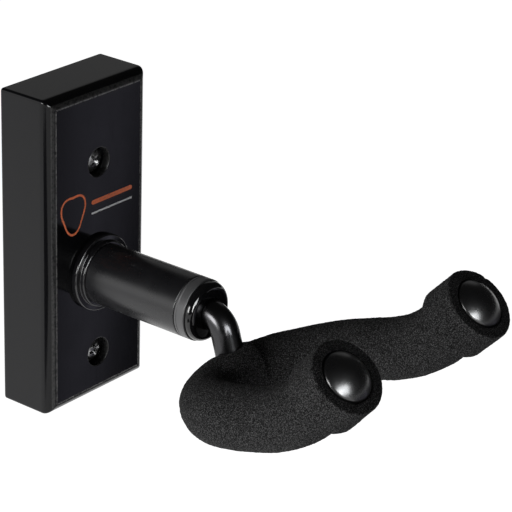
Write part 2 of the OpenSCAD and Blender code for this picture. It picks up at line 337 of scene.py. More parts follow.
def dress(tree, shader, colour, roughness, bump, depth, height):
    """Feeds a shader its colour, its roughness, and a bump of one strength and depth from a height."""
    bumped = node(tree, "ShaderNodeBump", None, Strength=bump, Distance=depth, Height=height).outputs[0]
    for socket, source in (("Base Color", colour), ("Roughness", roughness), ("Normal", bumped)):
        tree.links.new(source, shader.inputs[socket])


# Sprayed skin, used by every coated and moulded piece: the soft dimples of the coat, and finer dust under it
sprayed_skin, g_in, g_out = group(
    "sprayed_skin",
    [("Vector", "Vector", None), ("Dimple Size", "Float", 1.2), ("Dust", "Float", 0.3)],
    [("Height", "Float"), ("Haze", "Float")])
per_size = arithmetic(sprayed_skin, "DIVIDE", 1000.0, g_in.outputs["Dimple Size"])
dimples = node(sprayed_skin, "ShaderNodeTexNoise", None, Vector=g_in.outputs["Vector"], Scale=per_size, Detail=1.5,
               Roughness=0.4).outputs[0]
specks = node(sprayed_skin, "ShaderNodeTexVoronoi", None, Vector=g_in.outputs["Vector"],
              Scale=900.0).outputs["Distance"]
speck_mask = spread(sprayed_skin, specks, 0.02, 0.2, 1.0, 0.0)
dusty = arithmetic(sprayed_skin, "MULTIPLY", speck_mask, g_in.outputs["Dust"])
sprayed_skin.links.new(arithmetic(sprayed_skin, "ADD", dimples, dusty), g_out.inputs["Height"])
clouds = node(sprayed_skin, "ShaderNodeTexNoise", None, Vector=g_in.outputs["Vector"], Scale=55.0, Detail=4.0,
              Roughness=0.6).outputs[0]
sprayed_skin.links.new(spread(sprayed_skin, clouds, 0.3, 0.75, 0.0, 1.0), g_out.inputs["Haze"])

# Edge wear and painted highlight, used by the wood and the coated metal: the piece's own edge attribute, broken up
# into rubs and nicks. Along the wood's front arris the lighter colour it lets in is partly a painted highlight.
rubbed_edge, g_in, g_out = group(
    "rubbed_edge", [("Vector", "Vector", None), ("Edge", "Float", 0.0), ("Rub", "Float", 0.5)], [("Mask", "Float")])
breakup = node(rubbed_edge, "ShaderNodeTexNoise", None, Vector=g_in.outputs["Vector"], Scale=800.0, Detail=5.0,
            Roughness=0.7).outputs[0]
edge_reach = arithmetic(rubbed_edge, "ADD", arithmetic(rubbed_edge, "SUBTRACT", g_in.outputs["Edge"], 1.0),
                      arithmetic(rubbed_edge, "MULTIPLY", g_in.outputs["Rub"], 1.4))
wear_and_highlight_mask = arithmetic(rubbed_edge, "MULTIPLY", edge_reach, spread(rubbed_edge, breakup, 0.3, 0.62, 0.15, 1.0), clamp=True)
rubbed_edge.links.new(wear_and_highlight_mask, g_out.inputs["Mask"])


def edge_wear_and_highlight(tree, here, rub):
    """Where a coat is rubbed through, from the piece's own edge attribute. Along the wood's front arris it also
    carries a painted highlight.
    """
    edge_here = node(tree, "ShaderNodeAttribute", {"attribute_name": "edge"}).outputs["Fac"]
    return place_group(tree, rubbed_edge, Vector=here, Edge=edge_here, Rub=rub).outputs["Mask"]


lacquered_wood, tree, shader = finish_start("black_lacquered_wood", (0.004, 0.004, 0.005), 0.12,
                                            Specular_IOR_Level=0.22)
here = node(tree, "ShaderNodeTexCoord").outputs["Object"]
pores = node(tree, "ShaderNodeTexNoise", None, Vector=scaled(tree, here, (1100.0, 1100.0, 75.0)), Scale=1.0,
             Detail=3.0, Roughness=0.55).outputs[0]
pore_mask = spread(tree, pores, 0.6, 0.74, 0.0, 1.0)
figure = node(tree, "ShaderNodeTexNoise", None, Vector=scaled(tree, here, (150.0, 150.0, 9.0)), Scale=1.0, Detail=5.0,
              Roughness=0.6).outputs[0]
coat = place_group(tree, sprayed_skin, Vector=here, Dimple_Size=1.6, Dust=0.1)
# Lighter colour along the front arris: partly lacquer worn thin, partly a painted highlight of the arris catching
# light.
rub = edge_wear_and_highlight(tree, here, 0.7)
toned = blend(tree, figure, (0.0022, 0.0022, 0.0027, 1), (0.0046, 0.0046, 0.0054, 1))
satin = arithmetic(tree, "ADD", arithmetic(tree, "MULTIPLY", coat.outputs["Haze"], 0.03), 0.09)
satin = arithmetic(tree, "ADD", satin, arithmetic(tree, "MULTIPLY", rub, 0.25))
grain_height = arithmetic(tree, "SUBTRACT", arithmetic(tree, "MULTIPLY", coat.outputs["Height"], 0.6),
                          arithmetic(tree, "MULTIPLY", pore_mask, 0.35))
grain_height = arithmetic(tree, "ADD", grain_height, arithmetic(tree, "MULTIPLY", figure, 0.6))
dress(tree, shader, blend(tree, rub, toned, (0.26, 0.258, 0.255, 1)), satin, 0.2, 0.03 * MM, grain_height)


def block_ring(y, inset):
    """A rounded rectangle at depth y, drawn in from the block's sides."""
    corner = CORNER_BACK + (CORNER_FRONT - CORNER_BACK) * min(max(inset, 0) / ROUTED, 1)
    half = (BLOCK_WIDE / 2 - inset - corner, BLOCK_TALL / 2 - inset - corner)
    ring = []
    for quarter, (sx, sz) in enumerate(((1, 1), (-1, 1), (-1, -1), (1, -1))):
        for a, guard in ((0, -GUARD), *((a, 0) for a in np.linspace(0, 90, 7)), (90, GUARD)):
            turn = math.radians(a + 90 * quarter)
            ring.append(Vector((sx * half[0] + corner * math.cos(turn) - guard * math.sin(turn), y,
                                sz * half[1] + corner * math.sin(turn) + guard * math.cos(turn))))
    return ring


rings = [block_ring(-BACK_EASE * (1 - math.cos(math.radians(a))), BACK_EASE * (1 - math.sin(math.radians(a))))
         for a in (0, 15, 30, 45, 60, 75, 90)]
rings += [block_ring(-BACK_EASE - GUARD, 0), block_ring(-(BLOCK_DEEP - ROUTED) + GUARD, 0)]
for a in np.linspace(0, 84, 17):
    rings.append(block_ring(-(BLOCK_DEEP - ROUTED) - ROUTED * math.sin(math.radians(a)) / math.sin(math.radians(84)),
                            ROUTED * (1 - math.cos(math.radians(a)))))
arris_inset = ROUTED * (1 - math.cos(math.radians(84)))
rings.append(block_ring(-BLOCK_DEEP, arris_inset + GUARD))
wall_block = mesh_piece("wall_block", *skin(rings), lacquered_wood)

cutter_points, cutter_faces = [], []
recess_bottom = BLOCK_DEEP - RECESS_DEEP
recess_profile = [(0, -MM), (SCREW_HOLE_R, -MM), (SCREW_HOLE_R, recess_bottom), (RECESS_R, recess_bottom)]
recess_profile += arc((RECESS_R + RECESS_LIP, BLOCK_DEEP - RECESS_LIP), RECESS_LIP, 180, 100, 6)
recess_profile += [(RECESS_R + RECESS_LIP * 1.2, BLOCK_DEEP + MM), (0, BLOCK_DEEP + MM)]
counterbore_profile = [(0, -MM), (COUNTERBORE_R, -MM), (COUNTERBORE_R, COUNTERBORE_DEEP),
                       (BOLT_HOLE_R, COUNTERBORE_DEEP), (BOLT_HOLE_R, BLOCK_DEEP + MM), (0, BLOCK_DEEP + MM)]
for profile, z in ((recess_profile, SCREW_HEIGHTS[0]), (recess_profile, SCREW_HEIGHTS[1]),
                   (counterbore_profile, PIVOT_Z)):
    more, ring_faces, _ = turned_solid(profile, on_wall(0, z), 72)
    cutter_faces += [tuple(i + len(cutter_points) for i in f) for f in ring_faces]
    cutter_points += more
cutter = mesh_piece("block_cutter", cutter_points, cutter_faces, lacquered_wood)


def carve(piece, tool):
    """Cuts one piece out of another and leaves the result as a plain mesh."""
    cut = piece.modifiers.new("cut", "BOOLEAN")
    cut.operation, cut.object, cut.solver = "DIFFERENCE", tool, "EXACT"
    evaluated = piece.evaluated_get(bpy.context.evaluated_depsgraph_get())
    carved = bpy.data.meshes.new_from_object(evaluated)
    piece.modifiers.clear()
    old, piece.data = piece.data, carved
    carved.name = old.name
    bpy.data.meshes.remove(old)
    bpy.data.objects.remove(tool)
    return piece


def vertex_places(mesh):
    at = np.empty(len(mesh.vertices) * 3, np.float32)
    mesh.vertices.foreach_get("co", at)
    return at.reshape(-1, 3)


def mark_edges(mesh, amounts):
    """Stores how much each point of a mesh is worn; on the block's front arris this is partly a painted highlight."""
    mesh.attributes.new("edge", "FLOAT", "POINT").data.foreach_set("value", amounts.astype(np.float32))


carve(wall_block, cutter)
smooth(wall_block.data, 26)
at = vertex_places(wall_block.data)
on_front = at[:, 1] < -BLOCK_DEEP + 0.02 * MM
# The front arris gets the full lighter colour and the round just behind it a faint share: partly wear, partly painted
# highlight.
on_arris = on_front & ((np.abs(np.abs(at[:, 0]) - BLOCK_WIDE / 2 + arris_inset) < 0.05 * MM)
                       | (np.abs(np.abs(at[:, 2]) - BLOCK_TALL / 2 + arris_inset) < 0.05 * MM))
near_arris = ~on_front & (at[:, 1] < -BLOCK_DEEP + 0.9 * MM)
mark_edges(wall_block.data, on_arris + 0.17 * near_arris)
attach(wall_block, "root")
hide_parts("mount_block")

# The printed mark between the upper screw and the tube: a plain plectrum outline in orange and two plain bars,
# screen-printed straight onto the lacquer.
PRINT_THICK, PRINT_SUNK = 0.05 * MM, 0.01 * MM
PLECTRUM_AT, PLECTRUM_SIZE, PLECTRUM_LINE = Vector((-15.5 * MM, 0, 18.5 * MM)), 8.2 * MM, 1.0 * MM
BARS = {"orange": (-4.5, 20.5, 18.6, 20.6), "white": (-4.5, 20.5, 14.4, 15.2)}


def ink(name, colour):
    finish, tree, shader = finish_start(name, colour, 0.5)
    here = node(tree, "ShaderNodeTexCoord").outputs["Object"]
    coat = place_group(tree, sprayed_skin, Vector=here, Dimple_Size=0.5, Dust=0.6)
    thin = node(tree, "ShaderNodeTexNoise", None, Vector=here, Scale=700.0, Detail=5.0, Roughness=0.7).outputs[0]
    thin = spread(tree, thin, 0.5, 0.75, 0.0, 0.55)
    dress(tree, shader, blend(tree, thin, (*colour, 1), (0.03, 0.02, 0.02, 1)),
          spread(tree, coat.outputs["Haze"], 0, 1, 0.42, 0.6), 0.4, 0.03 * MM, coat.outputs["Height"])
    return finish


def plectrum_line(grow):
    """The outline of a plectrum: a rounded triangle with its point down."""
    line = []
    for a in np.linspace(0, 2 * math.pi, 96, endpoint=False):
        swell = 1 + 0.13 * math.cos(3 * (a + math.pi / 2)) - 0.05 * math.sin(a)
        r = PLECTRUM_SIZE * swell + grow
        line.append(PLECTRUM_AT + Vector((0.84 * r * math.cos(a), 0, r * math.sin(a))))
    return line


def print_solid(outline, hole=None):
    """A film of ink: an outline, or the band between an outline and a hole, lifted off the block's front."""
    lift = [Vector((0, -BLOCK_DEEP + PRINT_SUNK, 0)), Vector((0, -BLOCK_DEEP - PRINT_THICK, 0))]
    if hole is None:
        return skin([[p + lift[0] for p in outline], [p + lift[1] for p in outline]])
    return looped_skin([[p + lift[0] for p in outline], [p + lift[1] for p in outline],
                        [p + lift[1] for p in hole], [p + lift[0] for p in hole]])


def bar_outline(left, right, low, high):
    r = (high - low) / 2
    outline = [Vector((right - r + r * math.cos(a), 0, low + r + r * math.sin(a)))
               for a in np.linspace(-math.pi / 2, math.pi / 2, 12)]
    outline += [Vector((left + r - r * math.cos(a), 0, low + r - r * math.sin(a)))
                for a in np.linspace(-math.pi / 2, math.pi / 2, 12)]
    return outline


for tone, colour in (("orange", (0.95, 0.2, 0.06)), ("white", (0.92, 0.92, 0.92))):
    points, faces = print_solid(bar_outline(*(value * MM for value in BARS[tone])))
    if tone == "orange":
        band, band_faces = print_solid(plectrum_line(PLECTRUM_LINE / 2), plectrum_line(-PLECTRUM_LINE / 2))
        faces += [tuple(i + len(points) for i in f) for f in band_faces]
        points += band
    printed = mesh_piece("printed_mark_" + tone, points, faces, ink(tone + "_ink", colour), keen=60)
    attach(printed, "root")

# The two wall screws: round-headed cross-drive wood screws in black phosphated steel. Each head sits in its recess,
# and the threaded end stands out behind the block.
HEAD_R, HEAD_H, HEAD_ROUND = 5.2 * MM, 2.7 * MM, 7.28 * MM
SHANK_R, THREAD_R, THREAD_PITCH = 2.2 * MM, 2.5 * MM, 1.9 * MM
SCREW_LEN, SCREW_POINT = 50 * MM, 6 * MM
POINT_R, SLOT_TURNS = 0.2 * MM, (38, 12)
CROSS_LONG, CROSS_WIDE, CROSS_DEEP = 3.5 * MM, 0.75 * MM, 1.9 * MM
SEAT = BLOCK_DEEP - RECESS_DEEP

screw_steel, tree, shader = finish_start("black_screw_steel", (0.03, 0.03, 0.031), 0.25, Metallic=1.0)
here = node(tree, "ShaderNodeTexCoord").outputs["Object"]
coat = place_group(tree, sprayed_skin, Vector=here, Dimple_Size=0.35, Dust=0.8)
dress(tree, shader, blend(tree, edge_wear_and_highlight(tree, here, 0.9), (0.03, 0.03, 0.031, 1), (0.9, 0.9, 0.9, 1)),
      spread(tree, coat.outputs["Haze"], 0, 1, 0.16, 0.3), 0.35, 0.04 * MM, coat.outputs["Height"])


def pass_out(tree, made, source, result):
    """Makes a tree's geometry real, gives it the finish and passes it out."""
    real = node(tree, "GeometryNodeRealizeInstances", None, i0=made).outputs[0]
    coated = node(tree, "GeometryNodeSetMaterial", None, Geometry=real, Material=source.outputs["Finish"])
    tree.links.new(coated.outputs[0], result.inputs[0])


def thread_tree():
    """A screw thread: a diamond section swept along a helix, with a second, tapering helix down to the point."""
    sizes = [(socket, "Float", None) for socket in ("Helix Radius", "Pitch", "Run", "Point", "Ridge")]
    tree, source, result = group("screw_thread", sizes + [("Finish", "Material", None)], [("Geometry", "Geometry")],
                                 "GeometryNodeTree")
    helix_r = source.outputs["Helix Radius"]
    ridge = node(tree, "GeometryNodeCurvePrimitiveCircle", None, Resolution=4, Radius=source.outputs["Ridge"])
    joined = tree.nodes.new("GeometryNodeJoinGeometry")
    for length, upwards, end_r in (("Run", 1.0, helix_r), ("Point", -1.0, POINT_R)):
        helix = node(tree, "GeometryNodeCurveSpiral", None, Resolution=28, Start_Radius=helix_r, End_Radius=end_r,
                     Rotations=arithmetic(tree, "DIVIDE", source.outputs[length], source.outputs["Pitch"]),
                     Height=arithmetic(tree, "MULTIPLY", source.outputs[length], upwards))
        swept = node(tree, "GeometryNodeCurveToMesh", None, Curve=helix.outputs[0], Profile_Curve=ridge.outputs[0],
                     Fill_Caps=True)
        tree.links.new(swept.outputs[0], joined.inputs[0])
    pass_out(tree, joined.outputs[0], source, result)
    return tree


def run_tree(start, tree, **values):
    """The plain mesh that a geometry tree makes from a mesh or curve to start with and its inputs."""
    holder = bpy.data.objects.new(start.name, start)
    bpy.context.collection.objects.link(holder)
    step = holder.modifiers.new("made", "NODES")
    step.node_group = tree
    for item in tree.interface.items_tree:
        if item.item_type == "SOCKET" and item.in_out == "INPUT" and item.name.replace(" ", "_") in values:
            step[item.identifier] = values[item.name.replace(" ", "_")]
    made = bpy.data.meshes.new_from_object(holder.evaluated_get(bpy.context.evaluated_depsgraph_get()))
    bpy.data.objects.remove(holder)
    return made


def join_into(piece, mesh, place=Matrix()):
    """Adds a mesh, put in place, to a piece's own mesh."""
    mesh.transform(place)
    added = bmesh.new()
    added.from_mesh(mesh)
    bmesh.ops.recalc_face_normals(added, faces=added.faces)
    added.to_mesh(mesh)
    added.free()
    shape = bmesh.new()
    shape.from_mesh(piece.data)
    shape.from_mesh(mesh)
    shape.to_mesh(piece.data)
    shape.free()
    bpy.data.meshes.remove(mesh)


def join_turned(piece, profile, place, steps, finish):
    """Adds a turned solid to a piece's own mesh."""
    part = mesh_piece("part", *turned_solid(profile, place, steps)[:2], finish)
    join_into(piece, part.data.copy())
    bpy.data.objects.remove(part)


screw_thread = thread_tree()
head_profile = [(0, 0), (HEAD_R - 0.3 * MM, 0), (HEAD_R - 0.05 * MM, 0.25 * MM)]
dome_base = HEAD_H - HEAD_ROUND
rim_angle = math.degrees(math.acos((HEAD_R - 0.02 * MM) / HEAD_ROUND))
head_profile += arc((0, dome_base), HEAD_ROUND, rim_angle, 90, 14)[:-1] + [(0, HEAD_H)]
head_edges = [0, 0, 0.2, 0.75, 0.4] + [0.0] * (len(head_profile) - 5)
for label, z, slot_turn in zip(("upper", "lower"), SCREW_HEIGHTS, SLOT_TURNS):
    place = on_wall(0, z) @ Matrix.Translation((0, 0, SEAT)) @ Matrix.Rotation(math.radians(slot_turn), 4, "Z")
    points, faces, amounts = turned_solid(head_profile, place, 64, head_edges)
    screw = mesh_piece(label + "_screw_piece", points, faces, screw_steel)
    for turn in (0, 90):
        slot_place = place @ Matrix.Rotation(math.radians(turn), 4, "Z") @ Matrix.Translation((0, 0, HEAD_H))
        slot_rings = [[slot_place @ Vector((sx * long, sy * wide, depth)) for sx, sy in
                       ((1, 1), (-1, 1), (-1, -1), (1, -1))]
                      for long, wide, depth in ((CROSS_LONG, CROSS_WIDE, MM), (CROSS_LONG, CROSS_WIDE, -0.1 * MM),
                                                (CROSS_LONG * 0.4, CROSS_WIDE * 0.6, -CROSS_DEEP))]
        carve(screw, mesh_piece("cross_slot", *skin(slot_rings), screw_steel))
    local = np.array([place.inverted() @ Vector(p) for p in vertex_places(screw.data)])
    reach = np.hypot(local[:, 0], local[:, 1])
    in_dome = np.abs(np.hypot(reach, local[:, 2] - dome_base) - HEAD_ROUND) < 0.02 * MM
    off_slot = np.minimum(np.abs(np.abs(local[:, 0]) - CROSS_WIDE), np.abs(np.abs(local[:, 1]) - CROSS_WIDE))
    in_cross = (off_slot < 0.03 * MM) & (reach < CROSS_LONG * 1.05)
    mark_edges(screw.data, np.where(in_dome & in_cross, 0.9, np.where(reach > HEAD_R - 0.3 * MM, 0.6, 0.0)))
    shank_end = -SEAT - 0.5 * MM
    run_end = SCREW_POINT - SCREW_LEN
    shank = [(0, 0.4 * MM), (SHANK_R, 0.4 * MM), (SHANK_R, shank_end), (SHANK_R * 0.8, shank_end - 0.5 * MM),
             (SHANK_R * 0.78, run_end), (SHANK_R * 0.7, run_end - MM), (0.25 * MM, -SCREW_LEN + 0.2 * MM),
             (0, -SCREW_LEN)]
    join_turned(screw, shank, place, 32, screw_steel)
    empty_mesh = bpy.data.meshes.new("thread")
    ridge = run_tree(empty_mesh, screw_thread, Helix_Radius=THREAD_R - 0.62 * MM, Pitch=THREAD_PITCH,
                     Run=SCREW_LEN - SCREW_POINT - SEAT - 0.9 * MM, Point=SCREW_POINT - 0.3 * MM, Ridge=0.6 * MM,
                     Finish=screw_steel)
    bpy.data.meshes.remove(empty_mesh)
    join_into(screw, ridge, place @ Matrix.Translation((0, 0, run_end)))
    smooth(screw.data, 30)
    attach(screw, "root")
    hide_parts(label + "_wall_screw")

# The hidden steelwork in the back of the block: an M8 bolt, a plain washer and a split spring washer, all zinc plated.
# They clamp the tube and its flange through the counterbore.
BOLT_R, BOLT_LEN, BOLT_FLATS, BOLT_HEAD_H = 4 * MM, 30 * MM, 13 * MM, 5.3 * MM
PLAIN_R, PLAIN_H, SPRING_R, SPRING_H = 10 * MM, 1.6 * MM, 6.4 * MM, 1.8 * MM
SPRING_GAP, SPRING_RISE = math.radians(7), 0.35 * MM

zinc, tree, shader = finish_start("zinc_plated_steel", (0.62, 0.62, 0.64), 0.3, Metallic=1.0)
here = node(tree, "ShaderNodeTexCoord").outputs["Object"]
coat = place_group(tree, sprayed_skin, Vector=here, Dimple_Size=0.8, Dust=0.5)
spangle = node(tree, "ShaderNodeTexVoronoi", None, Vector=here, Scale=260.0).outputs["Color"]
spangle = node(tree, "ShaderNodeSeparateColor", None, i0=spangle).outputs[0]
satin = arithmetic(tree, "ADD", spread(tree, coat.outputs["Haze"], 0, 1, 0.2, 0.36),
                   arithmetic(tree, "MULTIPLY", spangle, 0.08))
dress(tree, shader, blend(tree, spangle, (0.5, 0.5, 0.53, 1), (0.7, 0.69, 0.68, 1)), satin, 0.3, 0.04 * MM,
      coat.outputs["Height"])

head_low = COUNTERBORE_DEEP - PLAIN_H - SPRING_H - BOLT_HEAD_H
pivot_place = on_wall(0, PIVOT_Z)
flat_r = BOLT_FLATS / 2
corner_r = flat_r / math.cos(math.radians(30))


def hexagon_ring(height, limit):
    """The bolt head's hexagon, with its corners turned down to a round of the limit radius."""
    ring = []
    for a in np.linspace(0, 2 * math.pi, 72, endpoint=False):
        to_flat = (a + math.pi / 6) % (math.pi / 3) - math.pi / 6
        r = min(flat_r / math.cos(to_flat), limit)
        ring.append(pivot_place @ Vector((r * math.cos(a), r * math.sin(a), height)))
    return ring


chamfer = [(flat_r * 0.96, head_low), (flat_r * 1.03, head_low + 0.35 * MM), (flat_r * 1.09, head_low + 0.7 * MM),
           (corner_r, head_low + 1.1 * MM), (corner_r, head_low + BOLT_HEAD_H - 0.3 * MM),
           (flat_r * 0.97, head_low + BOLT_HEAD_H)]
housing_bolt = mesh_piece("housing_bolt_piece", *skin([hexagon_ring(h, limit) for limit, h in chamfer]), zinc, keen=20)
bolt_end = head_low + BOLT_HEAD_H + BOLT_LEN
join_turned(housing_bolt, [(0, head_low + MM), (BOLT_R, head_low + MM), (BOLT_R, bolt_end - MM),
                           (BOLT_R - MM, bolt_end), (0, bolt_end)], pivot_place, 40, zinc)
smooth(housing_bolt.data, 20)
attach(housing_bolt, "root")
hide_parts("housing_bolt")


def rounded_ring(outer, inner, low, high, ease):
    """The profile of a washer with eased edges."""
    return (arc((outer - ease, low + ease), ease, -90, 0, 4) + arc((outer - ease, high - ease), ease, 0, 90, 4)
            + arc((inner + ease, high - ease), ease, 90, 180, 4) + arc((inner + ease, low + ease), ease, 180, 270, 4))


points, faces, _ = turned_solid(rounded_ring(PLAIN_R, BOLT_R + 0.3 * MM, COUNTERBORE_DEEP - PLAIN_H, COUNTERBORE_DEEP,
                                             0.2 * MM), pivot_place, 72)
bolt_washer = mesh_piece("bolt_washer_piece", points, faces, zinc, keen=40)
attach(bolt_washer, "root")
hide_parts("bolt_washer")

spring_top = COUNTERBORE_DEEP - PLAIN_H
rings = []
for a in np.linspace(SPRING_GAP / 2, 2 * math.pi - SPRING_GAP / 2, 60):
    lean = SPRING_RISE * (a / (2 * math.pi) - 0.5)
    rings.append([pivot_place @ Vector((r * math.cos(a), r * math.sin(a), h + lean)) for r, h in
                  rounded_ring(SPRING_R, BOLT_R + 0.2 * MM, spring_top - SPRING_H + 0.2 * MM, spring_top - 0.2 * MM,
                               0.15 * MM)])
spring_washer = mesh_piece("bolt_spring_washer", *skin(rings), zinc, keen=40)
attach(spring_washer, "root")
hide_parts("bolt_lock_washer")

# The pivot housing: a steel tube with a turned flange and its raised hub at the foot. Both are coated black: the tube
# in satin powder coat, the flange glossier.
TUBE_R, TUBE_WALL, TUBE_LEN = 13.1 * MM, 2 * MM, 52.2 * MM
FLANGE_R, FLANGE_H, HUB_R, HUB_H = 16.7 * MM, 2.6 * MM, 14.3 * MM, 4.6 * MM
SLIP = 0.05 * MM


def coated_steel_finish(name, colour, low, high, dimple, depth):
    """Powder coat: fine dimples, hazy patches and rubbed edges."""
    finish, tree, shader = finish_start(name, colour, low)
    here = node(tree, "ShaderNodeTexCoord").outputs["Object"]
    coat = place_group(tree, sprayed_skin, Vector=here, Dimple_Size=dimple, Dust=0.5)
    base = blend(tree, coat.outputs["Haze"], (*colour, 1), (*(c * 1.25 for c in colour), 1))
    dress(tree, shader, blend(tree, edge_wear_and_highlight(tree, here, 0.6), base, (0.11, 0.11, 0.11, 1)),
          spread(tree, coat.outputs["Haze"], 0, 1, low, high), 0.5, depth, coat.outputs["Height"])
    return finish


powder_coat = coated_steel_finish("black_coated_steel", (0.007, 0.007, 0.008), 0.26, 0.32, 0.7, 0.02 * MM)
flange_coat = coated_steel_finish("flange_coat", (0.007, 0.007, 0.008), 0.08, 0.13, 0.7, 0.02 * MM)


def turned_piece(name, profile, place, finish, steps=128, weights=None, keen=32):
    points, faces, amounts = turned_solid(profile, place, steps, weights)
    return mesh_piece(name, points, faces, finish, keen, amounts)


foot = pivot_place @ Matrix.Translation((0, 0, BLOCK_DEEP))
flange_profile = [(TUBE_R + SLIP, 0), (FLANGE_R - 0.15 * MM, 0), (FLANGE_R, 0.15 * MM)]
flange_profile += arc((FLANGE_R - 0.8 * MM, FLANGE_H - 0.8 * MM), 0.8 * MM, 0, 90, 9)
flange_profile += arc((HUB_R + 0.35 * MM, FLANGE_H + 0.35 * MM), 0.35 * MM, 270, 180, 6)
flange_profile += arc((HUB_R - 0.6 * MM, HUB_H - 0.6 * MM), 0.6 * MM, 0, 90, 9)
flange_profile += [(TUBE_R + SLIP, HUB_H)]
weights = [0.0] * len(flange_profile)
weights[7], weights[24] = 0.6, 0.6
tube_flange = turned_piece("tube_flange_piece", flange_profile, foot, flange_coat, weights=weights)
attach(tube_flange, "root")
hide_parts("tube_flange")

tube_profile = [(TUBE_R - TUBE_WALL, 0), (TUBE_R, 0), (TUBE_R, 0.5 * TUBE_LEN)]
tube_profile += [(TUBE_R, TUBE_LEN - 1.2 * MM)]
tube_profile += arc((TUBE_R - 0.45 * MM, TUBE_LEN - 0.45 * MM), 0.45 * MM, 0, 90, 7)
tube_profile += [(TUBE_R - TUBE_WALL, TUBE_LEN)]
weights = [0.0] * len(tube_profile)
weights[6] = 0.45
pivot_tube = turned_piece("pivot_tube_piece", tube_profile, foot, powder_coat, weights=weights)
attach(pivot_tube, "root")
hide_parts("pivot_tube")

# The bearing ring in the tube's mouth: turned from dark grey nylon, with a fine groove near its edge. Its long spigot
# is pressed into the tube and guides the rod.
RING_START, RING_H, SPIGOT = TUBE_LEN + 0.3 * MM, 5 * MM, 14 * MM
GROOVE_AT, GROOVE_DEEP = 1.2 * MM, 0.18 * MM
ROD_R = 6 * MM

grey_nylon, tree, shader = finish_start("grey_nylon", (0.1, 0.1, 0.102), 0.42)
here = node(tree, "ShaderNodeTexCoord").outputs["Object"]
lathe_lines = node(tree, "ShaderNodeTexNoise", None, Vector=scaled(tree, here, (60.0, 5200.0, 60.0)), Scale=1.0,
                   Detail=2.0).outputs[0]
coat = place_group(tree, sprayed_skin, Vector=here, Dimple_Size=0.5, Dust=0.4)
dress(tree, shader, blend(tree, lathe_lines, (0.056, 0.056, 0.058, 1), (0.076, 0.076, 0.078, 1)),
      spread(tree, coat.outputs["Haze"], 0, 1, 0.38, 0.5), 0.35, 0.03 * MM,
      arithmetic(tree, "ADD", lathe_lines, arithmetic(tree, "MULTIPLY", coat.outputs["Height"], 0.4)))

mouth = foot @ Matrix.Translation((0, 0, RING_START))
ring_profile = [(ROD_R + SLIP, -SPIGOT), (TUBE_R - TUBE_WALL - SLIP, -SPIGOT), (TUBE_R - TUBE_WALL - SLIP, 0),
                (TUBE_R - 0.3 * MM, 0)]
ring_profile += arc((TUBE_R - 0.3 * MM, 0.3 * MM), 0.3 * MM, -90, 0, 5)[1:]
ring_profile += [(TUBE_R, GROOVE_AT - 0.2 * MM), (TUBE_R - GROOVE_DEEP, GROOVE_AT - 0.06 * MM),
                 (TUBE_R - GROOVE_DEEP, GROOVE_AT + 0.06 * MM), (TUBE_R, GROOVE_AT + 0.2 * MM),
                 (TUBE_R, RING_H - 0.9 * MM)]
ring_profile += arc((TUBE_R - 0.5 * MM, RING_H - 0.5 * MM), 0.5 * MM, 0, 90, 7)
ring_profile += [(ROD_R + SLIP, RING_H)]
bearing_ring = turned_piece("bearing_ring_piece", ring_profile, mouth, grey_nylon, keen=25)
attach(bearing_ring, "root")
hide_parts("bearing_ring")

# The rod's end cap: a round-edged washer moulded in gloss black plastic. It is pushed onto the rod in front of the
# bearing ring, and turns with the rod.
CAP_START, CAP_R, CAP_H, CAP_ROUND = RING_START + RING_H + 0.4 * MM, 12.6 * MM, 3.4 * MM, 2.9 * MM


def gloss_finish(name, colour, low, high, dimple, depth, **sockets):
    """A gloss moulding or coat: a faint skin, hazy patches and a few fine scratches."""
    finish, tree, shader = finish_start(name, colour, low, **sockets)
    here = node(tree, "ShaderNodeTexCoord").outputs["Object"]
    coat = place_group(tree, sprayed_skin, Vector=here, Dimple_Size=dimple, Dust=0.12)
    scratches = node(tree, "ShaderNodeTexNoise", {"normalize": True}, Vector=scaled(tree, here, (900.0, 90.0, 500.0)),
                     Scale=1.0, Detail=6.0, Roughness=0.75).outputs[0]
    scratch_mask = spread(tree, scratches, 0.62, 0.72, 0.0, 1.0)
    satin = arithmetic(tree, "ADD", spread(tree, coat.outputs["Haze"], 0, 1, low, high),
                       arithmetic(tree, "MULTIPLY", scratch_mask, 0.08))
    dress(tree, shader, blend(tree, scratch_mask, (*colour, 1), (*(c * 2.2 for c in colour), 1)), satin, 0.3, depth,
          coat.outputs["Height"])
    return finish


gloss_plastic = gloss_finish("gloss_black_plastic", (0.004, 0.004, 0.0046), 0.07, 0.11, 2.5, 0.03 * MM)
cap_place = foot @ Matrix.Translation((0, 0, CAP_START))
cap_profile = [(ROD_R + 0.25 * MM, 0), (CAP_R - 0.3 * MM, 0), (CAP_R, 0.3 * MM)]
cap_profile += arc((CAP_R - CAP_ROUND, CAP_H - CAP_ROUND), CAP_ROUND, 0, 90, 17)
cap_profile += arc((ROD_R + 0.75 * MM, CAP_H - 0.5 * MM), 0.5 * MM, 90, 180, 6)
rod_end_cap = turned_piece("rod_end_cap_piece", cap_profile, cap_place, gloss_plastic, keen=40)
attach(rod_end_cap, "yoke")
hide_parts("rod_end_cap")

# The swivel rod: a 12 mm steel bar in gloss black, straight through the housing, bent down through 73 degrees and
# welded to the yoke bar inside the foam. Its rear end is threaded for the lock nut.
BEND_R, BEND = 10 * MM, math.radians(73)
YOKE_REACH, YOKE_DROP, YOKE_R = 102 * MM, 26.2 * MM, 40.5 * MM
LOWER_LEN = (YOKE_DROP - BEND_R * (1 - math.cos(BEND))) / math.sin(BEND)
BEND_START = YOKE_REACH - BEND_R * math.sin(BEND) - LOWER_LEN * math.cos(BEND)
FOOT_LEN = LOWER_LEN - ROD_R - 0.1 * MM
NUT_START, SHOULDER, STUB_R = 38.5 * MM, 47.1 * MM, 4 * MM

rod_gloss = gloss_finish("black_rod_steel", (0.052, 0.052, 0.054), 0.18, 0.25, 1.4, 0.05 * MM, Metallic=1.0)


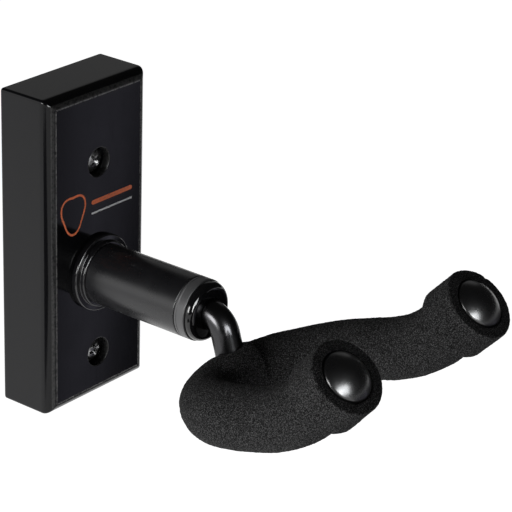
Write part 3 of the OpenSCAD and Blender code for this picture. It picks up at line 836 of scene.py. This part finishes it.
def sweep_tree():
    """A round bar along a curve, with its ends closed."""
    tree, source, result = group("round_bar", [("Geometry", "Geometry", None), ("Bar Radius", "Float", None),
                                               ("Sides", "Int", None), ("Finish", "Material", None)],
                                 [("Geometry", "Geometry")], "GeometryNodeTree")
    section = node(tree, "GeometryNodeCurvePrimitiveCircle", None, Resolution=source.outputs["Sides"],
                   Radius=source.outputs["Bar Radius"])
    swept = node(tree, "GeometryNodeCurveToMesh", None, Curve=source.outputs["Geometry"],
                 Profile_Curve=section.outputs[0], Fill_Caps=True)
    pass_out(tree, swept.outputs[0], source, result)
    return tree


def bar_along(name, path, radius, sides, finish):
    """The mesh of a round bar that follows a path of points."""
    line = bpy.data.curves.new(name, "CURVE")
    line.dimensions = "3D"
    spline = line.splines.new("POLY")
    spline.points.add(len(path) - 1)
    for point, at_point in zip(spline.points, path):
        point.co = (*at_point, 1)
    made = run_tree(line, sweep_tree(), Bar_Radius=radius, Sides=sides, Finish=finish)
    bpy.data.curves.remove(line)
    return made


def rod_point(along):
    """The point and direction of the rod's centreline, measured forward from where its bend starts."""
    along = float(along)
    if along <= 0:
        return Vector((0, -BEND_START - along, PIVOT_Z)), Vector((0, -1, 0))
    angle = min(along / BEND_R, BEND)
    at_bend = Vector((0, -BEND_START - BEND_R * math.sin(angle), PIVOT_Z - BEND_R * (1 - math.cos(angle))))
    heading = Vector((0, -math.cos(angle), -math.sin(angle)))
    return at_bend + max(along - BEND_R * BEND, 0) * heading, heading


stops = [SHOULDER - BEND_START, -5 * MM] + list(np.linspace(0, BEND_R * BEND, 40)) + [BEND_R * BEND + FOOT_LEN]
swivel_rod = bpy.data.objects.new("swivel_rod_piece", bar_along(
    "rod_path", [rod_point(s)[0] for s in stops], ROD_R, 96, rod_gloss))
bpy.context.collection.objects.link(swivel_rod)
stub_len = SHOULDER - NUT_START + 2 * MM
join_turned(swivel_rod, [(0, 0), (STUB_R - 0.6 * MM, 0), (STUB_R, 0.7 * MM), (STUB_R, stub_len), (0, stub_len)],
            pivot_place @ Matrix.Translation((0, 0, NUT_START - MM)), 40, rod_gloss)
smooth(swivel_rod.data, 32)
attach(swivel_rod, "yoke")
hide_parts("swivel_rod")

# The inner pieces keep their plain turned shapes: plug, rear bush, lock nut and washer in the tube, and the bar and
# its weld inside the foam.
natural_nylon, tree, shader = finish_start("natural_nylon", (0.8, 0.79, 0.74), 0.45)
here = node(tree, "ShaderNodeTexCoord").outputs["Object"]
coat = place_group(tree, sprayed_skin, Vector=here, Dimple_Size=0.9, Dust=0.3)
dress(tree, shader, blend(tree, coat.outputs["Haze"], (0.78, 0.77, 0.71, 1), (0.84, 0.83, 0.79, 1)),
      spread(tree, coat.outputs["Haze"], 0, 1, 0.4, 0.52), 0.3, 0.04 * MM, coat.outputs["Height"])
for inner, finish in (("tube_base_plug", zinc), ("rear_bush", natural_nylon), ("rod_washer", zinc),
                      ("rod_lock_nut", zinc), ("yoke_bar", rod_gloss), ("yoke_weld", rod_gloss)):
    materials = frame["nodes"][inner].data.materials
    materials.clear()
    materials.append(finish)

# The foam on the yoke: two closed-cell foam tubes pushed over the bar from either side, butted at a seam beside the
# rod. The left one is slit for the rod. The foam has a fine open grain and bunches on the inside of the bend.
YOKE_TILT, ARM_SPLAY, ARM_LEN = math.radians(18), math.radians(2.5), 10.5 * MM
TIP_BEND_R, TIP_BEND, TIP_LEN = 60 * MM, math.radians(30.5), 20 * MM
FOAM_R, SLEEVE_R, SLEEVE_LEN, SEAM_X = 12.85 * MM, 15.7 * MM, 18 * MM, 8 * MM
SLEEVE_START = TIP_LEN - SLEEVE_LEN
ARC_END = math.pi / 2 - ARM_SPLAY
SEAM_ANGLE = math.asin(SEAM_X / YOKE_R)
GRAIN_STEP = 0.5 * MM
at_yoke = Matrix.Translation((0, -YOKE_REACH, PIVOT_Z - YOKE_DROP)) @ Matrix.Rotation(-YOKE_TILT, 4, "X")


def at_arm(side):
    return (at_yoke @ Matrix.Translation((0, -YOKE_R, 0)) @ Matrix.Rotation(-side * ARC_END, 4, "Z")
            @ Matrix.Translation((0, YOKE_R, 0)) @ Matrix.Rotation(math.pi / 2 * (1 - side), 4, "Z"))


def at_tip(side):
    return (at_arm(side) @ Matrix.Translation((ARM_LEN, 0, TIP_BEND_R)) @ Matrix.Rotation(-TIP_BEND, 4, "Y")
            @ Matrix.Translation((0, 0, -TIP_BEND_R)) @ Matrix.Rotation(math.pi / 2, 4, "Y"))


def yoke_section(side, start, along):
    """The centre, outward and upward axes of the bar at a distance along one arm from an angle on the base."""
    along = float(along)
    arc_len = YOKE_R * (ARC_END - start)
    if along <= arc_len:
        beta = side * (start + along / YOKE_R)
        out = Vector((math.sin(beta), math.cos(beta), 0))
        return (at_yoke @ (Vector((0, -YOKE_R, 0)) + YOKE_R * out), (at_yoke.to_3x3() @ out),
                at_yoke.to_3x3() @ Vector((0, 0, 1)))
    arm = at_arm(side)
    along -= arc_len
    if along <= ARM_LEN:
        return arm @ Vector((along, 0, 0)), arm.to_3x3() @ Vector((0, side, 0)), arm.to_3x3() @ Vector((0, 0, 1))
    along -= ARM_LEN
    angle = min(along / TIP_BEND_R, TIP_BEND)
    beyond = max(along - TIP_BEND_R * TIP_BEND, 0)
    heading = Vector((math.cos(angle), 0, math.sin(angle)))
    up = Vector((-math.sin(angle), 0, math.cos(angle)))
    centre = Vector((ARM_LEN, 0, TIP_BEND_R)) - TIP_BEND_R * up + beyond * heading
    return arm @ centre, arm.to_3x3() @ Vector((0, side, 0)), arm.to_3x3() @ up


def soft_noise(rng, shape, cells):
    """Smooth random values over a grid that closes on itself around its second axis."""
    rows, cols = shape
    coarse = rng.normal(size=(max(int(rows / cells), 2) + 3, max(int(cols / cells), 3)))
    y = np.linspace(1, coarse.shape[0] - 2.001, rows)
    x = np.linspace(0, coarse.shape[1], cols, endpoint=False)
    yi, xi = y.astype(int), x.astype(int)
    fy, fx = y - yi, x - xi
    fy, fx = (fy * fy * (3 - 2 * fy))[:, None], (fx * fx * (3 - 2 * fx))[None, :]
    wide = coarse.shape[1]
    corner = [[coarse[yi + i][:, (xi + j) % wide] for j in (0, 1)] for i in (0, 1)]
    return ((corner[0][0] * (1 - fx) + corner[0][1] * fx) * (1 - fy)
            + (corner[1][0] * (1 - fx) + corner[1][1] * fx) * fy)


foam, tree, shader = finish_start("black_foam", (0.03, 0.03, 0.0305), 0.9, Specular_IOR_Level=0.06)
here = node(tree, "ShaderNodeTexCoord").outputs["Object"]
cells = node(tree, "ShaderNodeTexVoronoi", None, Vector=here, Scale=1900.0, Randomness=1.0).outputs["Distance"]
fuzz = node(tree, "ShaderNodeTexNoise", None, Vector=here, Scale=2200.0, Detail=2.0, Roughness=0.7).outputs[0]
rubbed_patch = node(tree, "ShaderNodeTexNoise", None, Vector=here, Scale=45.0, Detail=3.0, Roughness=0.6).outputs[0]
speckle = arithmetic(tree, "MULTIPLY", spread(tree, fuzz, 0.43, 0.58, 0.0, 1.0),
                     spread(tree, cells, 0.25, 0.7, 1.0, 0.2))
shade = arithmetic(tree, "ADD", arithmetic(tree, "MULTIPLY", speckle, 0.85),
                   arithmetic(tree, "MULTIPLY", rubbed_patch, 0.06), clamp=True)
pitted = arithmetic(tree, "SUBTRACT", arithmetic(tree, "MULTIPLY", fuzz, 0.7),
                    arithmetic(tree, "MULTIPLY", cells, 0.5))
dress(tree, shader, blend(tree, shade, (0.0015, 0.0015, 0.0016, 1), (0.1, 0.1, 0.101, 1)),
      spread(tree, speckle, 0, 1, 0.95, 0.8), 1.0, 0.6 * MM, pitted)

# Each fold or swelling of the left foam: its angle round the base, its slant, its reach before and after, its depth,
# and the direction and width that it takes up round the tube
PINCHES = ((math.radians(-30), 0, 7.0 * MM, 1.3 * MM, 7.4 * MM, math.radians(148), math.radians(44)),
           (math.radians(3), -0.55, 1.0 * MM, 3.6 * MM, 3.0 * MM, math.radians(219), math.radians(19)),
           (math.radians(3), 0, 13.0 * MM, 11.0 * MM, -3.8 * MM, math.radians(116), math.radians(34)))
SEAM_DIP, SEAM_REACH, SEAM_GAP, END_EASE = 1.8 * MM, 1.5 * MM, math.radians(1.3), 1.1 * MM
FOOT_SWELL, FOOT_REACH = 1.3 * MM, 1.1 * MM
foot_point, foot_heading = rod_point(BEND_R * BEND + FOOT_LEN)


def foam_grain(rng, shape):
    return 0.06 * MM * soft_noise(rng, shape, 1.6) + 0.03 * MM * rng.normal(size=shape).clip(-2, 2)


def arm_foam(name, side, start, seed):
    """A foam tube along one arm, with its grain, soft swells, the bunching inside the bend and the lip at the rod."""
    length = YOKE_R * (ARC_END - start) + ARM_LEN + TIP_BEND_R * TIP_BEND + SLEEVE_START - SLIP
    rng = np.random.default_rng(seed)
    rows, cols = int(length / GRAIN_STEP), int(2 * math.pi * FOAM_R / GRAIN_STEP)
    grain = foam_grain(rng, (rows, cols))
    swell = 0.12 * MM * soft_noise(rng, (rows, cols), 22) + 0.06 * MM * soft_noise(rng, (rows, cols), 9)
    around = np.linspace(0, 2 * math.pi, cols, endpoint=False)
    rings = []
    for n, along in enumerate(np.linspace(0, length, rows)):
        centre, out, up = yoke_section(side, start, along)
        beta = side * (start + along / YOKE_R)
        end_gap = min(along, length - along, END_EASE)
        eased = END_EASE - math.sqrt(max(END_EASE ** 2 - (END_EASE - end_gap) ** 2, 0))
        radius = FOAM_R - 0.15 * MM - eased + grain[n] + swell[n]
        if side > 0:
            radius = radius - SEAM_DIP * math.exp(-(along / SEAM_REACH) ** 2)
        if side < 0 and along < YOKE_R * (ARC_END - start):
            for at, slant, before_fold, after_fold, deep, towards, wide in PINCHES:
                off = (around - towards + math.pi) % (2 * math.pi) - math.pi
                past = (beta - at - slant * off) * YOKE_R
                fold = np.exp(-(past / np.where(past > 0, before_fold, after_fold)) ** 2)
                radius = radius - deep * fold * np.exp(-(off / wide) ** 2)
        ring = np.array(centre)[None] + radius[:, None] * (np.cos(around)[:, None] * np.array(out)[None]
                                                           + np.sin(around)[:, None] * np.array(up)[None])
        if along < 40 * MM:
            to = ring - np.array(foot_point)[None]
            heading = np.array(foot_heading)
            off_axis = np.linalg.norm(to - (to @ heading)[:, None] * heading[None], axis=1)
            near = np.exp(-np.maximum(off_axis - ROD_R, 0) / FOOT_REACH) * ((to @ heading) < 4 * MM)
            ring = ring + FOOT_SWELL * near[:, None] * heading[None]
        rings.append([Vector(p) for p in ring])
    bore_r = ROD_R + SLIP
    for along in np.linspace(length, 0, 48):
        centre, out, up = yoke_section(side, start, along)
        rings.append([centre + bore_r * (math.cos(a) * out + math.sin(a) * up) for a in around])
    return mesh_piece(name, *looped_skin(rings), foam, keen=60)


left_foam = arm_foam("left_arm_foam_piece", -1, -SEAM_ANGLE, 11)
right_foam = arm_foam("right_arm_foam_piece", 1, SEAM_ANGLE + SEAM_GAP, 12)
for foam_piece, cad in ((left_foam, "left_arm_foam"), (right_foam, "right_arm_foam")):
    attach(foam_piece, "yoke")
    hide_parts(cad)

# The sleeve on each tip: a short, fatter foam tube with a round shoulder. It is pushed over the end of the bar, and
# its mouth is bored for the cap that closes it.
DOME_R, DOME_H, RIM_H, SOCKET_R, SOCKET_H = 10.4 * MM, 4.2 * MM, 2 * MM, 8 * MM, 9 * MM
SHOULDER_R, FACE_ROUND, MOUTH_ROUND, MOUTH_GAP = 2.4 * MM, 0.9 * MM, 0.4 * MM, 0.45 * MM


def even_profile(corners, step):
    """A profile with points added so that none is further than a step from the next."""
    line = [corners[0]]
    for a, b in zip(corners, corners[1:]):
        count = max(int(math.hypot(b[0] - a[0], b[1] - a[1]) / step), 1)
        line += [(a[0] + (b[0] - a[0]) * i / count, a[1] + (b[1] - a[1]) * i / count) for i in range(1, count + 1)]
    return line


def sleeve_foam(name, side, seed, nicks):
    """The sleeve on one tip, with its grain and a few small nicks along its edges."""
    low, high = SLEEVE_START, TIP_LEN
    mouth_r = DOME_R + MOUTH_GAP
    outside = [(ROD_R + SLIP, low + 0.05 * MM), (FOAM_R - 1.5 * MM, low + 0.05 * MM)]
    outside += arc((SLEEVE_R - SHOULDER_R, low + SHOULDER_R), SHOULDER_R, -90, 0, 10)
    outside += arc((SLEEVE_R - FACE_ROUND, high - FACE_ROUND), FACE_ROUND, 0, 90, 7)
    outside += arc((mouth_r + MOUTH_ROUND, high - MOUTH_ROUND), MOUTH_ROUND, 90, 180, 4)
    outside += [(mouth_r, high - RIM_H)]
    outside = even_profile(outside, GRAIN_STEP)
    inside = [(SOCKET_R + SLIP, high - RIM_H), (SOCKET_R + SLIP, high - RIM_H - SOCKET_H - 0.2 * MM),
              (ROD_R + SLIP, high - RIM_H - SOCKET_H - 0.2 * MM)]
    cols = int(2 * math.pi * SLEEVE_R / GRAIN_STEP)
    rng = np.random.default_rng(seed)
    rows = len(outside)
    grain = foam_grain(rng, (rows, cols))
    swell = 0.14 * MM * soft_noise(rng, (rows, cols), 20)
    around = np.linspace(0, 2 * math.pi, cols, endpoint=False)
    place = at_tip(side)
    rings = []
    for n, (r, h) in enumerate(outside):
        before, after = outside[max(n - 1, 0)], outside[min(n + 1, rows - 1)]
        along = np.array((after[0] - before[0], after[1] - before[1]))
        normal = np.array((along[1], -along[0])) / max(np.linalg.norm(along), 1e-9)
        loose = 0.0 if n < 2 or n > rows - 3 else 1.0
        push = loose * (grain[n] + swell[n] - 0.2 * MM)
        for at_nick, reach, deep, spot in nicks:
            off = np.abs((around - at_nick + math.pi) % (2 * math.pi) - math.pi) * r
            from_spot = math.hypot(r - spot[0], h - spot[1])
            push = push - deep * np.exp(-(off / reach) ** 2) * math.exp(-(from_spot / reach) ** 2)
        radius, height = r + push * normal[0], h + push * normal[1]
        rings.append([place @ Vector((radius[j] * math.cos(a), radius[j] * math.sin(a), height[j]))
                      for j, a in enumerate(around)])
    for r, h in inside:
        rings.append([place @ Vector((r * math.cos(a), r * math.sin(a), h)) for a in around])
    return mesh_piece(name, *looped_skin(rings), foam, keen=60)


MOUTH_EDGE, FACE_EDGE = (DOME_R + MM, TIP_LEN), (SLEEVE_R - 0.6 * MM, TIP_LEN - 0.5 * MM)
left_sleeve = sleeve_foam("left_tip_sleeve_piece", -1, 21, [(math.radians(-20), 0.9 * MM, 0.7 * MM, MOUTH_EDGE),
                                                           (math.radians(170), 1.0 * MM, 0.8 * MM, FACE_EDGE)])
right_sleeve = sleeve_foam("right_tip_sleeve_piece", 1, 22, [(math.radians(120), 0.9 * MM, 0.5 * MM, FACE_EDGE)])
for foam_piece, cad in ((left_sleeve, "left_tip_sleeve"), (right_sleeve, "right_tip_sleeve")):
    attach(foam_piece, "yoke")
    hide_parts(cad)

# The domed caps: buttons moulded in satin black plastic. The socket behind each dome grips the end of the bar inside
# the sleeve.
dome_plastic = gloss_finish("dome_plastic", (0.002, 0.002, 0.0023), 0.26, 0.31, 2.5, 0.03 * MM,
                            Specular_IOR_Level=0.85)
dome_round = (DOME_R ** 2 + DOME_H ** 2) / (2 * DOME_H)
dome_edge = math.degrees(math.asin((dome_round - DOME_H) / dome_round))
for label, side in (("left", -1), ("right", 1)):
    cap_profile = [(ROD_R + SLIP, -RIM_H - SOCKET_H), (SOCKET_R, -RIM_H - SOCKET_H), (SOCKET_R, -RIM_H + 0.1 * MM),
                   (DOME_R - 0.3 * MM, -RIM_H + 0.1 * MM), (DOME_R, -RIM_H + 0.4 * MM), (DOME_R, -0.35 * MM)]
    cap_profile += [(r - 0.05 * MM, h) for r, h in arc((0, DOME_H - dome_round), dome_round, dome_edge + 2.0, 88, 40)]
    cap_profile += [(0, DOME_H)]
    cap_profile = [(0, -RIM_H), (ROD_R + SLIP, -RIM_H)] + cap_profile
    tip_cap = turned_piece(label + "_tip_cap_piece", cap_profile, at_tip(side) @ Matrix.Translation((0, 0, TIP_LEN)),
                           dome_plastic, steps=144, keen=40)
    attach(tip_cap, "yoke")
    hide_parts(label + "_tip_cap")
